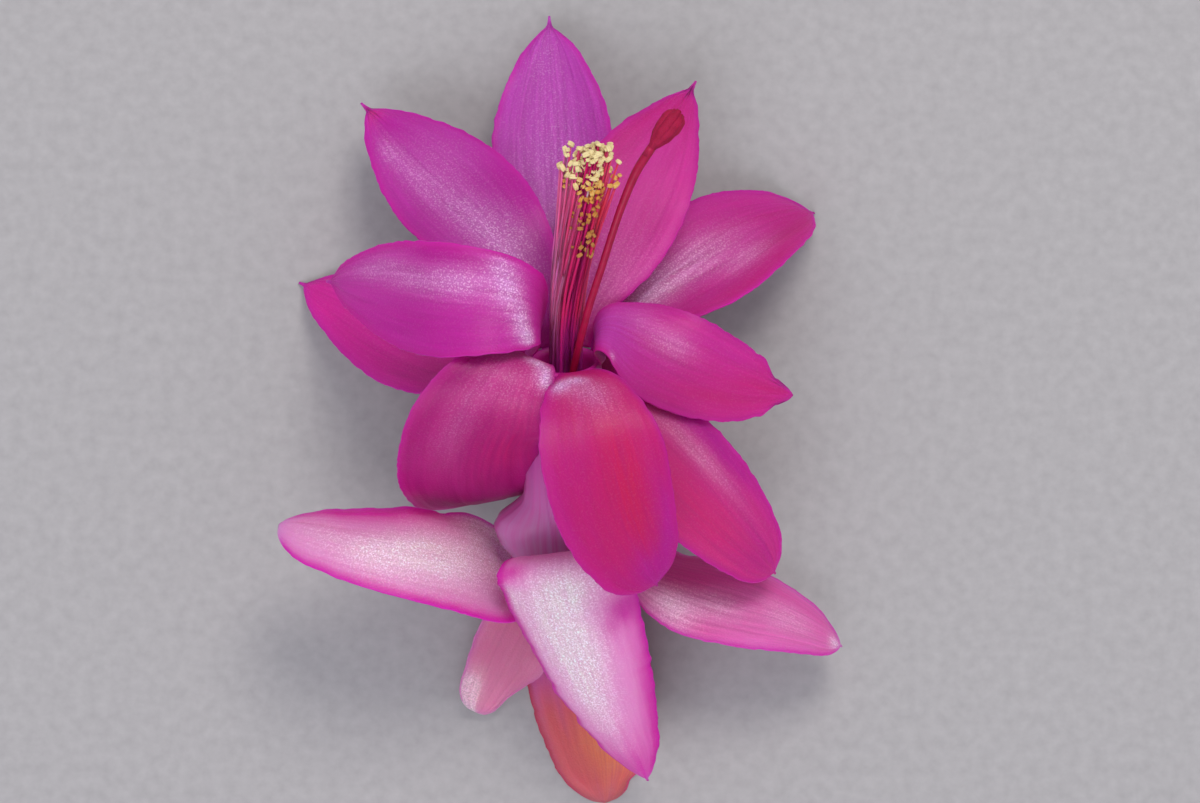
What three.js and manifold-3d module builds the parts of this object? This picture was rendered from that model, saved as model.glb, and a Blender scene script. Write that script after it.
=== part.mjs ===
// A single Christmas cactus flower, picked and laid on its side on a flat surface.
// Units are millimetres. +Z is up, +Y points from the stem end to the mouth of the flower.
import * as THREE from 'three';
import { mergeVertices } from 'three/addons/utils/BufferGeometryUtils.js';
import Module from 'manifold-3d';

const wasm = await Module();
wasm.setup();

// ---- How the flower lies -------------------------------------------------
const TUBE_TILT = 25; // degrees, the tube climbs from its stem end to its mouth
const TUBE_YAW = 1; // degrees, the mouth swings a little to the left
const MOUTH_CENTRE = new THREE.Vector3(0.2, 4.5, 15.8);
const MOUTH_RISE = 27.3; // from the zero of the flower's axis to the mouth

// ---- Ovary and floral tube, sizes along the flower's axis -------------------
const OVARY_BASE = -1.4;
const OVARY_TOP = 4.2;
const OVARY_RADIUS = 2.8;
const TUBE_BASE = 4.5;
const TUBE_TOP = 26.6;
const TUBE_WALL = 0.9;
const THROAT_DEPTH = 20; // depth of the open throat below the mouth
const TUBE_SIDES = 26;
const FLANK_AROUND = -92; // the tube swells on its left, below the outer left tepal
const FLANK_SPREAD = 40; // degrees either way in which the swelling fades

// ---- Tepals ----------------------------------------------------------------
const TEPAL_THICKNESS = 0.6;
const TEPAL_ROWS = 15;
const TEPAL_COLUMNS = 6;
const MUCRO_WIDTH = 0.36; // width of the fine point each tepal ends in

// Each tepal is given as it would be measured on the flower. Angles are in degrees.
// around: position round the tube, 0 is uppermost, positive is to the right
// rise, out: where its root stands, along the axis and away from it
// widest: share of the length at which it is widest; taper: below 1 the tip is blunter
// leanRoot, leanBend, curl: its lean away from the axis at the root, past the bend, and
//   the further curl it gathers to the tip; bendFrom, bendTo: where along it the bend lies
// skew, sweep: sideways turn near the root, and gathered over its length
// twist: turn about its own midrib; cup, tipCup: half angle of its hollow, and its change
const INNER_TEPALS = [
  {
    name: 'tepal_inner_top',
    around: 183, rise: 24.9, out: 4.1, length: 32.6, width: 10.8, rootWidth: 2.9,
    widest: 0.56, taper: 0.85, leanRoot: 18, leanBend: 48, curl: 4,
    bendFrom: 1.6, bendTo: 16.7, skew: -1, sweep: 1, twist: -6,
    cup: 21, tipCup: -10,
  },
  {
    name: 'tepal_inner_top_left',
    around: -145, rise: 27.2, out: 2.9, length: 30.3, width: 10.8, rootWidth: 2,
    widest: 0.5, taper: 0.85, leanRoot: 12, leanBend: 69, curl: -1,
    bendFrom: 2.4, bendTo: 13.7, skew: -14, sweep: -3, twist: -15,
    cup: 17, tipCup: -12,
  },
  {
    name: 'tepal_inner_top_right',
    around: 159, rise: 27.2, out: 2.9, length: 27.5, width: 10.4, rootWidth: 2.1,
    widest: 0.43, taper: 0.96, leanRoot: 28, leanBend: 58, curl: 9,
    bendFrom: 2.9, bendTo: 21.4, skew: 12, sweep: 4, twist: 13,
    cup: 10, tipCup: -11,
  },
  {
    name: 'tepal_inner_right',
    around: 132, rise: 23.6, out: 4.1, length: 28.9, width: 11.1, rootWidth: 2.9,
    widest: 0.48, taper: 0.75, leanRoot: 28, leanBend: 62, curl: 45,
    bendFrom: 1.1, bendTo: 9.3, skew: 5, sweep: 9, twist: 23,
    cup: 19, tipCup: 4,
  },
  {
    name: 'tepal_inner_right_front',
    around: 86.8, rise: 27.2, out: 2.9, length: 21, width: 9, rootWidth: 2.1,
    widest: 0.37, taper: 0.62, leanRoot: -3.2, leanBend: 116.2, curl: 12.5,
    bendFrom: 1.4, bendTo: 4.5, skew: 37.7, sweep: -28.1, twist: 39.9,
    cup: 2.4, tipCup: 2.6,
  },
  {
    name: 'tepal_inner_lower_right',
    around: 45.9, rise: 24.4, out: 4.1, length: 25, width: 10.1, rootWidth: 2.9,
    widest: 0.38, taper: 0.53, leanRoot: 24, leanBend: 144.6, curl: 21.8,
    bendFrom: 0, bendTo: 3.3, skew: -27.8, sweep: -9.6, twist: 28,
    cup: 11.3, tipCup: 16.1,
  },
  {
    name: 'tepal_inner_front',
    around: 15.2, rise: 27.2, out: 2.9, length: 26.3, width: 10.8, rootWidth: 2.1,
    widest: 0.5, taper: 0.44, leanRoot: 70.2, leanBend: 170, curl: 22,
    bendFrom: 0, bendTo: 16.3, skew: 20.3, sweep: -55, twist: -5,
    cup: 6, tipCup: 4,
  },
  {
    name: 'tepal_inner_front_left',
    around: -40, rise: 27.2, out: 2.9, length: 29.3, width: 11.9, rootWidth: 1.8,
    widest: 0.5, taper: 0.34, leanRoot: 40.5, leanBend: 191, curl: 22,
    bendFrom: 0, bendTo: 13.1, skew: -8.8, sweep: -54.2, twist: -61.8,
    cup: -7, tipCup: 12.2,
  },
  {
    name: 'tepal_inner_left',
    around: -90, rise: 27.2, out: 2.9, length: 31.4, width: 9.5, rootWidth: 1.9,
    widest: 0.46, taper: 0.87, leanRoot: -16, leanBend: 123, curl: 17,
    bendFrom: 0.7, bendTo: 18.1, skew: -55, sweep: -8, twist: -26,
    cup: 34, tipCup: -9,
  },
  {
    name: 'tepal_inner_left_back',
    around: -123, rise: 22.7, out: 4.1, length: 26.1, width: 12.1, rootWidth: 2.9,
    widest: 0.34, taper: 0.82, leanRoot: 23, leanBend: 80, curl: 12,
    bendFrom: 0, bendTo: 3.7, skew: 0, sweep: 2, twist: -34,
    cup: -8, tipCup: -5,
  },
];

const OUTER_TEPALS = [
  {
    name: 'tepal_outer_left',
    around: -86, rise: 4.5, out: 4.1, length: 26.4, width: 11.8, rootWidth: 3.9,
    widest: 0.12, taper: 0.59, leanRoot: 30.2, leanBend: 67.5, curl: 41.2,
    bendFrom: 0.6, bendTo: 19, skew: -57.4, sweep: 69, twist: -5,
    cup: -24, tipCup: -1.4,
  },
  {
    name: 'tepal_outer_front',
    around: 0.2, rise: 8.6, out: 4.1, length: 31, width: 12, rootWidth: 4.5,
    widest: 0.29, taper: 0.67, leanRoot: 40.9, leanBend: 184, curl: 11.4,
    bendFrom: 4.1, bendTo: 9.9, skew: 19.1, sweep: -14.5, twist: 7,
    cup: -28.9, tipCup: -12,
  },
  {
    name: 'tepal_outer_right',
    around: 82.2, rise: 6.1, out: 4.1, length: 22.2, width: 11.4, rootWidth: 4.2,
    widest: 0.2, taper: 0.62, leanRoot: 26.5, leanBend: 99.7, curl: 40.4,
    bendFrom: 0.3, bendTo: 2.3, skew: 6.4, sweep: -17.6, twist: 17.5,
    cup: -24.3, tipCup: 32.9,
  },
  {
    name: 'tepal_outer_base_left',
    around: -149, rise: 5.8, out: 4.1, length: 14.9, width: 7.5, rootWidth: 2.2,
    widest: 0.43, taper: 0.6, leanRoot: 156.7, leanBend: 188.5, curl: -21.2,
    bendFrom: 0.1, bendTo: 2.7, skew: -36.3, sweep: 2.9, twist: 23.2,
    cup: -12.4, tipCup: -7.7,
  },
  {
    name: 'tepal_outer_base',
    around: 178, rise: 6.5, out: 4.1, length: 24.9, width: 11.1, rootWidth: 3.5,
    widest: 0.51, taper: 0.57, leanRoot: 88, leanBend: 203, curl: -1,
    bendFrom: 0, bendTo: 4.6, skew: 13, sweep: -3, twist: -1,
    cup: -1, tipCup: -2,
  },
];

// ---- Stamens, style and stigma ---------------------------------------------
const FILAMENT_COUNT = 18;
const FILAMENT_RADIUS = 0.28;
const FILAMENT_LENGTH = 21; // the longest, above the mouth
const FILAMENT_SHORTEST = 12;
const ANTHER_LENGTH = 1.5;
const ANTHER_RADIUS = 0.5;
const STAMEN_RING_RADIUS = 1.45;
const STAMEN_RING_DEPTH = 7; // the ring of filament feet sits this far below the mouth
const STAMEN_SEED = 11;
const STYLE_RADIUS = 0.5;
const STIGMA_LENGTH = 4.2;
const STIGMA_LOBES = 7;
const STIGMA_LOBE_RADIUS = 0.52;

// ---- Colours ---------------------------------------------------------------
const MAGENTA = 0xc42399;
const PALE_PINK = 0xdf9dc6;
const SALMON = 0xd8577a;
const TUBE_PINK = 0xa6558f;
const OVARY_GREEN = 0x9a8f5a;
const STAMEN_CREAM = 0xdba55a;
const STYLE_CRIMSON = 0x9c1038;

const UP = new THREE.Vector3(0, 0, 1);
const rad = THREE.MathUtils.degToRad;
const clamp = THREE.MathUtils.clamp;

// ---- The flower's own directions -------------------------------------------
const AXIS = new THREE.Vector3(
  -Math.sin(rad(TUBE_YAW)) * Math.cos(rad(TUBE_TILT)),
  Math.cos(rad(TUBE_YAW)) * Math.cos(rad(TUBE_TILT)),
  Math.sin(rad(TUBE_TILT)),
);
const RIGHT = new THREE.Vector3(Math.cos(rad(TUBE_YAW)), Math.sin(rad(TUBE_YAW)), 0);
const FRONT = new THREE.Vector3().crossVectors(RIGHT, AXIS);

// A point from its rise along the axis, its angle round it and its distance from it.
function onFlower(rise, around, out) {
  return MOUTH_CENTRE.clone()
    .addScaledVector(AXIS, rise - MOUTH_RISE)
    .addScaledVector(RIGHT, Math.sin(rad(around)) * out)
    .addScaledVector(FRONT, Math.cos(rad(around)) * out);
}

function smooth(x) {
  const t = clamp(x, 0, 1);
  return t * t * (3 - 2 * t);
}

// ---- Meshes ----------------------------------------------------------------
function geometryFrom(points, triangles) {
  const geometry = new THREE.BufferGeometry();
  geometry.setAttribute(
    'position',
    new THREE.Float32BufferAttribute(points.flatMap((p) => [p.x, p.y, p.z]), 3),
  );
  geometry.setIndex(triangles.flat());
  geometry.computeVertexNormals();
  return geometry;
}

function node(name, geometry, color, roughness) {
  const material = new THREE.MeshStandardMaterial({ color, roughness, metalness: 0 });
  const mesh = new THREE.Mesh(geometry, material);
  mesh.name = name;
  return mesh;
}

function solidOf(geometry) {
  const bare = new THREE.BufferGeometry();
  bare.setAttribute('position', geometry.getAttribute('position'));
  bare.setIndex(geometry.index);
  const merged = mergeVertices(bare, 1e-4);
  return new wasm.Manifold(
    new wasm.Mesh({
      numProp: 3,
      vertProperties: merged.attributes.position.array,
      triVerts: new Uint32Array(merged.index.array),
    }),
  );
}

function geometryOf(solid) {
  const mesh = solid.getMesh();
  const geometry = new THREE.BufferGeometry();
  geometry.setAttribute('position', new THREE.BufferAttribute(mesh.vertProperties, 3));
  geometry.setIndex(new THREE.BufferAttribute(mesh.triVerts, 1));
  geometry.computeVertexNormals();
  return geometry;
}

// ---- A tepal ---------------------------------------------------------------
function leanAt(s, tepal) {
  const from = tepal.bendFrom / tepal.length;
  const to = tepal.bendTo / tepal.length;
  const bend = (tepal.leanBend - tepal.leanRoot) * smooth((s - from) / (to - from));
  return tepal.leanRoot + bend + tepal.curl * s * s;
}

// The tepal's midrib as a run of frames: the point, the way on, the inner face's
// normal, and the direction across the blade.
function midribOf(tepal) {
  const steps = 128;
  const around = rad(tepal.around);
  const outward = new THREE.Vector3()
    .addScaledVector(RIGHT, Math.sin(around))
    .addScaledVector(FRONT, Math.cos(around));
  const lean = rad(tepal.leanRoot);
  let along = new THREE.Vector3()
    .addScaledVector(AXIS, Math.cos(lean))
    .addScaledVector(outward, Math.sin(lean));
  let inner = new THREE.Vector3()
    .addScaledVector(AXIS, Math.sin(lean))
    .addScaledVector(outward, -Math.cos(lean));
  let across = new THREE.Vector3().crossVectors(along, inner);
  const point = onFlower(tepal.rise, tepal.around, tepal.out);
  const sideways = (s) => tepal.skew * smooth(s / 0.25) + tepal.sweep * s;
  const twisted = (s) => tepal.twist * smooth(s / 0.6);
  const frames = [];
  for (let i = 0; i <= steps; i += 1) {
    const s = i / steps;
    const next = (i + 1) / steps;
    frames.push({ s, point: point.clone(), along, inner, across });
    const bend = rad(leanAt(next, tepal) - leanAt(s, tepal));
    [along, inner] = turned(along, inner, -bend);
    const turn = rad(sideways(next) - sideways(s));
    [along, across] = turned(along, across, turn);
    const twist = rad(twisted(next) - twisted(s));
    [inner, across] = turned(inner, across, twist);
    point.addScaledVector(along, tepal.length / steps);
  }
  return frames;
}

// Turns two directions that are square to each other, the first towards the second.
function turned(first, second, angle) {
  const a = first.clone().multiplyScalar(Math.cos(angle));
  const b = second.clone().multiplyScalar(Math.cos(angle));
  return [
    a.addScaledVector(second, Math.sin(angle)),
    b.addScaledVector(first, -Math.sin(angle)),
  ];
}

// Half the blade's width: a narrow root, a full middle, a tip that ends in a fine point.
function halfWidthAt(s, tepal) {
  const root = tepal.rootWidth / tepal.width;
  let share = 1;
  if (s < tepal.widest) {
    share = root + (1 - root) * Math.sin((Math.PI / 2) * (s / tepal.widest)) ** 1.3;
  } else {
    const v = clamp((s - tepal.widest) / (0.955 - tepal.widest), 0, 1);
    share = Math.max(0, 1 - v * v) ** tepal.taper;
  }
  const point = 0.05 * clamp((1 - s) / 0.14, 0, 1) * smooth((s - 0.8) / 0.12);
  return Math.max((tepal.width / 2) * (share + point), MUCRO_WIDTH / 2);
}

// Half the angle of the blade's hollow. At the root the blade wraps the tube.
function cupAt(s, tepal) {
  const wrap = THREE.MathUtils.radToDeg(tepal.rootWidth / 2 / tepal.out);
  const share = smooth(s / 0.32);
  return rad(wrap * (1 - share) + (tepal.cup + tepal.tipCup * s * s) * share);
}

// Rows are set closer together where the blade bends.
function rowsOf(frames, tepal) {
  const measure = [0];
  for (let i = 1; i < frames.length; i += 1) {
    const turn = Math.abs(leanAt(frames[i].s, tepal) - leanAt(frames[i - 1].s, tepal));
    measure.push(measure[i - 1] + 1 / frames.length + turn / 160);
  }
  const whole = measure[measure.length - 1];
  const rows = [];
  for (let i = 0; i <= TEPAL_ROWS; i += 1) {
    const want = (whole * i) / TEPAL_ROWS;
    const at = measure.findIndex((m) => m >= want - 1e-9);
    rows.push(frames[at]);
  }
  return rows;
}

function tepalGeometry(tepal) {
  const rows = rowsOf(midribOf(tepal), tepal);
  const columns = TEPAL_COLUMNS + 1;
  const middle = rows.map((frame) => {
    const half = halfWidthAt(frame.s, tepal);
    const cup = cupAt(frame.s, tepal);
    const bow = Math.abs(cup) < 1e-4 ? 1e-4 : cup;
    return Array.from({ length: columns }, (_, j) => {
      const t = -1 + (2 * j) / TEPAL_COLUMNS;
      return frame.point
        .clone()
        .addScaledVector(frame.across, (half * Math.sin(bow * t)) / bow)
        .addScaledVector(frame.inner, (half * (1 - Math.cos(bow * t))) / bow);
    });
  });
  const inner = [];
  const outer = [];
  for (let i = 0; i <= TEPAL_ROWS; i += 1) {
    for (let j = 0; j < columns; j += 1) {
      const along = middle[Math.min(i + 1, TEPAL_ROWS)][j].clone()
        .sub(middle[Math.max(i - 1, 0)][j]);
      const across = middle[i][Math.min(j + 1, columns - 1)].clone()
        .sub(middle[i][Math.max(j - 1, 0)]);
      const normal = across.cross(along).normalize();
      const up = middle[i][j].clone().addScaledVector(normal, TEPAL_THICKNESS / 2);
      const down = middle[i][j].clone().addScaledVector(normal, -TEPAL_THICKNESS / 2);
      // A blade pressed on the surface is flat against it.
      const press = Math.max(0, -Math.min(up.z, down.z));
      inner.push(up.addScaledVector(UP, press));
      outer.push(down.addScaledVector(UP, press));
    }
  }
  const points = [...inner, ...outer];
  const below = inner.length;
  const at = (i, j) => i * columns + j;
  const triangles = [];
  const quad = (a, b, c, d) => triangles.push([a, c, b], [a, d, c]);
  for (let i = 0; i < TEPAL_ROWS; i += 1) {
    for (let j = 0; j < TEPAL_COLUMNS; j += 1) {
      const [a, b, c, d] = [at(i, j), at(i, j + 1), at(i + 1, j + 1), at(i + 1, j)];
      triangles.push([a, b, c], [a, c, d]);
      triangles.push([a + below, c + below, b + below], [a + below, d + below, c + below]);
    }
  }
  for (let i = 0; i < TEPAL_ROWS; i += 1) {
    const [l0, l1] = [at(i, 0), at(i + 1, 0)];
    quad(l0, l0 + below, l1 + below, l1);
    const [r0, r1] = [at(i, TEPAL_COLUMNS), at(i + 1, TEPAL_COLUMNS)];
    quad(r0, r1, r1 + below, r0 + below);
  }
  for (let j = 0; j < TEPAL_COLUMNS; j += 1) {
    const [b0, b1] = [at(0, j), at(0, j + 1)];
    quad(b0, b1, b1 + below, b0 + below);
    const [t0, t1] = [at(TEPAL_ROWS, j), at(TEPAL_ROWS, j + 1)];
    quad(t0, t0 + below, t1 + below, t1);
  }
  return geometryFrom(points, triangles);
}

// ---- Ovary and tube --------------------------------------------------------
// Turns a closed profile of [distance from the axis, rise] round the flower's axis. A third
// number is how much further out the ring stands at the flank.
function turnedSolid(profile, sides) {
  const points = [];
  const rings = profile.map(([out, rise, swelling = 0]) => {
    if (out === 0) {
      points.push(onFlower(rise, 0, 0));
      return [points.length - 1];
    }
    const ring = [];
    for (let i = 0; i < sides; i += 1) {
      const around = (360 * i) / sides;
      const off = ((around - FLANK_AROUND + 180) % 360) - 180;
      const flank = swelling * Math.exp(-((off / FLANK_SPREAD) ** 2));
      points.push(onFlower(rise, around, out + flank));
      ring.push(points.length - 1);
    }
    return ring;
  });
  const triangles = [];
  for (let k = 0; k + 1 < rings.length; k += 1) {
    const [lower, upper] = [rings[k], rings[k + 1]];
    for (let i = 0; i < sides; i += 1) {
      const j = (i + 1) % sides;
      if (lower.length > 1) {
        triangles.push([lower[i], lower[j], upper[i % upper.length]]);
      }
      if (upper.length > 1) {
        triangles.push([lower[j % lower.length], upper[j], upper[i]]);
      }
    }
  }
  return geometryFrom(points, triangles);
}

function ovaryGeometry() {
  return turnedSolid([
    [0, OVARY_BASE],
    [1.3, OVARY_BASE],
    [1.9, OVARY_BASE + 0.6],
    [OVARY_RADIUS - 0.25, OVARY_BASE + 2],
    [OVARY_RADIUS, OVARY_BASE + 3.4],
    [OVARY_RADIUS - 0.05, OVARY_TOP - 0.8],
    [OVARY_RADIUS - 0.2, OVARY_TOP],
    [0, OVARY_TOP],
  ], 20);
}

function tubeGeometry() {
  const throatFloor = TUBE_TOP - THROAT_DEPTH;
  return turnedSolid([
    [0, TUBE_BASE],
    [2.8, TUBE_BASE],
    [3.3, TUBE_BASE + 0.9],
    [3.3, 7, 0.4],
    [3.35, 8.5, 1.5],
    [3.4, 10, 2.6],
    [3.47, 11.5, 3],
    [3.5, 12.4, 2.5],
    [3.53, 13.3, 1.3],
    [3.56, 14.2, 0.3],
    [3.6, 16],
    [3.4, 21],
    [3.3, TUBE_TOP],
    [3.3 - TUBE_WALL, TUBE_TOP],
    [3.4 - TUBE_WALL, 21],
    [3.5 - TUBE_WALL, 16],
    [3.3 - TUBE_WALL, 12],
    [3.1 - TUBE_WALL, throatFloor + 0.8],
    [1.4, throatFloor],
    [0, throatFloor],
  ], TUBE_SIDES);
}

// ---- Rods that follow a line -----------------------------------------------
// Sweeps a many-sided section along a line of points, with a radius at each point.
function sweptRod(line, radii, sides) {
  const points = [];
  const start = line[1].clone().sub(line[0]).normalize();
  let side = new THREE.Vector3().crossVectors(start, UP).normalize();
  line.forEach((centre, k) => {
    const way = line[Math.min(k + 1, line.length - 1)].clone()
      .sub(line[Math.max(k - 1, 0)]).normalize();
    side = side.clone().addScaledVector(way, -side.dot(way)).normalize();
    const other = new THREE.Vector3().crossVectors(way, side);
    for (let i = 0; i < sides; i += 1) {
      const turn = (2 * Math.PI * i) / sides;
      points.push(centre.clone()
        .addScaledVector(side, Math.cos(turn) * radii[k])
        .addScaledVector(other, Math.sin(turn) * radii[k]));
    }
  });
  const first = points.push(line[0].clone()) - 1;
  const last = points.push(line[line.length - 1].clone()) - 1;
  const triangles = [];
  const top = (line.length - 1) * sides;
  for (let i = 0; i < sides; i += 1) {
    const j = (i + 1) % sides;
    for (let k = 0; k + 1 < line.length; k += 1) {
      const [a, b] = [k * sides + i, k * sides + j];
      triangles.push([a, b, b + sides], [a, b + sides, a + sides]);
    }
    triangles.push([first, j, i], [last, top + i, top + j]);
  }
  return geometryFrom(points, triangles);
}

// A repeatable run of numbers from 0 to 1, for the small irregularities.
function randomRun(seed) {
  let state = seed;
  return () => {
    state = (state * 16807) % 2147483647;
    return state / 2147483647;
  };
}

// A point given by its place beside the axis and its height above the mouth.
function fromMouth(right, front, above) {
  return MOUTH_CENTRE.clone()
    .addScaledVector(RIGHT, right)
    .addScaledVector(FRONT, front)
    .addScaledVector(AXIS, above);
}

// A curve through points given as [right, front, above the mouth].
function curveThrough(places) {
  return new THREE.CatmullRomCurve3(places.map((p) => fromMouth(...p)), false, 'centripetal');
}

// ---- Stamens ---------------------------------------------------------------
// A ring of feet deep in the throat, flat-sided filaments in one bundle, an anther on each.
function stamenGeometry() {
  const random = randomRun(STAMEN_SEED);
  const ringLow = MOUTH_RISE - STAMEN_RING_DEPTH;
  const ring = turnedSolid([
    [STAMEN_RING_RADIUS - 0.4, ringLow],
    [STAMEN_RING_RADIUS + 0.4, ringLow],
    [STAMEN_RING_RADIUS + 0.4, ringLow + 1.2],
    [STAMEN_RING_RADIUS - 0.4, ringLow + 1.2],
    [STAMEN_RING_RADIUS - 0.4, ringLow],
  ], 18);
  let stamens = solidOf(ring);
  for (let i = 0; i < FILAMENT_COUNT; i += 1) {
    // The ring is left open on its right front side, where the style leaves it.
    const turn = rad(118 + (254 * (i + 0.5)) / FILAMENT_COUNT);
    const [c, s] = [Math.cos(turn), Math.sin(turn)];
    const share = ((i * 7) % FILAMENT_COUNT) / (FILAMENT_COUNT - 1);
    const length = FILAMENT_SHORTEST + (FILAMENT_LENGTH - FILAMENT_SHORTEST) * share;
    const spread = 0.45 + 0.75 * random();
    const curve = curveThrough([
      [STAMEN_RING_RADIUS * c, STAMEN_RING_RADIUS * s, 0.6 - STAMEN_RING_DEPTH],
      [0.35 + 1.55 * c, 1.0 * s, 0],
      [0.9 + 1.6 * spread * c, 1.2 + 1.1 * spread * s, length * 0.55],
      [1.2 + length * 0.055 + 1.9 * spread * c, length * 0.125 + 1.4 * spread * s, length],
    ]);
    const line = curve.getPoints(4);
    const radii = line.map(() => FILAMENT_RADIUS);
    stamens = stamens.add(solidOf(sweptRod(line, radii, 4)));
    const end = line[line.length - 1];
    const lie = new THREE.Vector3(random() - 0.5, random() - 0.2, random() - 0.5).normalize();
    const anther = [-0.5, -0.25, 0.25, 0.5].map((t) => end.clone()
      .addScaledVector(lie, t * ANTHER_LENGTH));
    const swell = [0.55, 1, 1, 0.5].map((k) => k * ANTHER_RADIUS);
    stamens = stamens.add(solidOf(sweptRod(anther, swell, 5)));
  }
  return geometryOf(stamens.simplify(0.005));
}

// ---- Style and stigma ------------------------------------------------------
const STYLE_LINE = [
  [0, 0, -9],
  [0.1, 0.15, -6],
  [0.4, 0.8, -3],
  [0.75, 1.4, -0.5],
  [1.5, 2.1, 3],
  [2.3, 2.5, 6.2],
  [3.3, 2.8, 9.5],
  [4.3, 2.9, 12.8],
  [5.2, 2.75, 15.4],
  [6.3, 2.35, 17.9],
  [7.6, 1.75, 19.8],
];

function styleGeometry() {
  const curve = curveThrough(STYLE_LINE);
  const line = curve.getPoints(22);
  const radii = line.map((_, i) => STYLE_RADIUS * (1 - 0.12 * (i / 22)));
  let style = solidOf(sweptRod(line, radii, 8));
  const end = line[line.length - 1];
  const way = fromMouth(10.9, -0.6, 23.2).sub(end).normalize();
  const side = new THREE.Vector3().crossVectors(way, UP).normalize();
  const other = new THREE.Vector3().crossVectors(way, side);
  for (let i = 0; i < STIGMA_LOBES; i += 1) {
    const turn = (2 * Math.PI * i) / STIGMA_LOBES;
    const out = side.clone().multiplyScalar(Math.cos(turn))
      .addScaledVector(other, Math.sin(turn));
    const lobe = [-0.6, 0.5, 2, 3.4, STIGMA_LENGTH].map((t, k) => end.clone()
      .addScaledVector(way, t)
      .addScaledVector(out, [0.05, 0.45, 0.85, 0.75, 0.35][k]));
    const swell = [0.55, 0.9, 1, 0.85, 0.4].map((k) => k * STIGMA_LOBE_RADIUS);
    style = style.add(solidOf(sweptRod(lobe, swell, 6)));
  }
  return geometryOf(style);
}

// ---- The flower ------------------------------------------------------------
const flower = new THREE.Group();
flower.name = 'christmas_cactus_flower';
flower.add(node('ovary', ovaryGeometry(), OVARY_GREEN, 0.6));
flower.add(node('floral_tube', tubeGeometry(), TUBE_PINK, 0.5));
flower.add(node('stamens', stamenGeometry(), STAMEN_CREAM, 0.6));
flower.add(node('style', styleGeometry(), STYLE_CRIMSON, 0.5));
for (const tepal of INNER_TEPALS) {
  flower.add(node(tepal.name, tepalGeometry(tepal), MAGENTA, 0.45));
}
for (const tepal of OUTER_TEPALS) {
  const color = tepal.name === 'tepal_outer_base' ? SALMON : PALE_PINK;
  flower.add(node(tepal.name, tepalGeometry(tepal), color, 0.45));
}

export default flower;
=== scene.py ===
import math
import bmesh
import bpy
import random
from mathutils import Matrix, Vector, noise


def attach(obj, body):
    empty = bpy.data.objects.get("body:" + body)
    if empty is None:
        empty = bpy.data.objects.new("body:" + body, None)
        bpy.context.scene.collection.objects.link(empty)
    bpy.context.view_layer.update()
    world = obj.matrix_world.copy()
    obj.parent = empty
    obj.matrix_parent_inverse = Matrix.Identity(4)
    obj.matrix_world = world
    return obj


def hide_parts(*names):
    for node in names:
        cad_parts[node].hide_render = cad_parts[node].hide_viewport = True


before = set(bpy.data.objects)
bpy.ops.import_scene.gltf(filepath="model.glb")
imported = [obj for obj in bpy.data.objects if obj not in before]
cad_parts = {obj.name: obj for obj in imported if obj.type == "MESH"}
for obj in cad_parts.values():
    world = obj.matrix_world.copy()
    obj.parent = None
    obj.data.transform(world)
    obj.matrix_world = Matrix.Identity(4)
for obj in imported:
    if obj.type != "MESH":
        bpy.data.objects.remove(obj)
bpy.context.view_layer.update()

# ---- Ovary -----------------------------------------------------------------
# The small green swelling under the flower, faintly five-sided, flushed with pink. It was
# attached to the stem segment and shows the round scar where it was picked off. The
# floral tube grows straight out of it.
MM = 0.001
TUBE_TILT = math.radians(25)
TUBE_YAW = math.radians(1)
OVARY_CORNERS = 5
OVARY_STEPS = 40
MOUTH_CENTRE = Vector((0.2, 4.5, 15.8))
MOUTH_RISE = 27.3
AXIS = Vector((
    -math.sin(TUBE_YAW) * math.cos(TUBE_TILT),
    math.cos(TUBE_YAW) * math.cos(TUBE_TILT),
    math.sin(TUBE_TILT),
))
RIGHT = Vector((math.cos(TUBE_YAW), math.sin(TUBE_YAW), 0))
FRONT = RIGHT.cross(AXIS)


def on_flower(rise, around, out):
    """A point in mm from its rise along the axis, its angle round it and its distance from it."""
    turn = math.radians(around)
    side = RIGHT * math.sin(turn) + FRONT * math.cos(turn)
    return MOUTH_CENTRE + AXIS * (rise - MOUTH_RISE) + side * out


def place_on_flower(point):
    """The rise, angle in radians and distance of a point in mm, the other way round."""
    from_mouth = point - MOUTH_CENTRE
    rise = from_mouth.dot(AXIS) + MOUTH_RISE
    side = from_mouth - AXIS * from_mouth.dot(AXIS)
    return rise, math.atan2(side.dot(RIGHT), side.dot(FRONT)), side.length


def turned(profile, steps):
    """Spins a profile of (distance from the axis, rise) in mm round the flower's axis."""
    mesh = bmesh.new()
    rim = [mesh.verts.new(on_flower(rise, 0, out) * MM) for out, rise in profile]
    edges = [mesh.edges.new(pair) for pair in zip(rim, rim[1:])]
    bmesh.ops.spin(
        mesh, geom=rim + edges, cent=MOUTH_CENTRE * MM, axis=AXIS, dvec=(0, 0, 0),
        angle=math.tau, steps=steps, use_merge=True,
    )
    bmesh.ops.remove_doubles(mesh, verts=mesh.verts, dist=1e-6)
    bmesh.ops.recalc_face_normals(mesh, faces=mesh.faces)
    return mesh


def piece(name, mesh, material, slot, *nodes):
    """Makes a bmesh the finished piece that stands for the named solids."""
    data = bpy.data.meshes.new(name)
    mesh.to_mesh(data)
    mesh.free()
    data.shade_smooth()
    data.materials.append(material)
    made = bpy.data.objects.new(name, data)
    bpy.context.scene.collection.objects.link(made)
    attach(made, "root")
    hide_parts(*nodes)
    return made


def linear(code):
    """An sRGB hex colour as linear RGBA."""
    parts = [int(code[i:i + 2], 16) / 255 for i in (0, 2, 4)]
    return [c / 12.92 if c <= 0.04045 else ((c + 0.055) / 1.055) ** 2.4 for c in parts] + [1]


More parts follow.
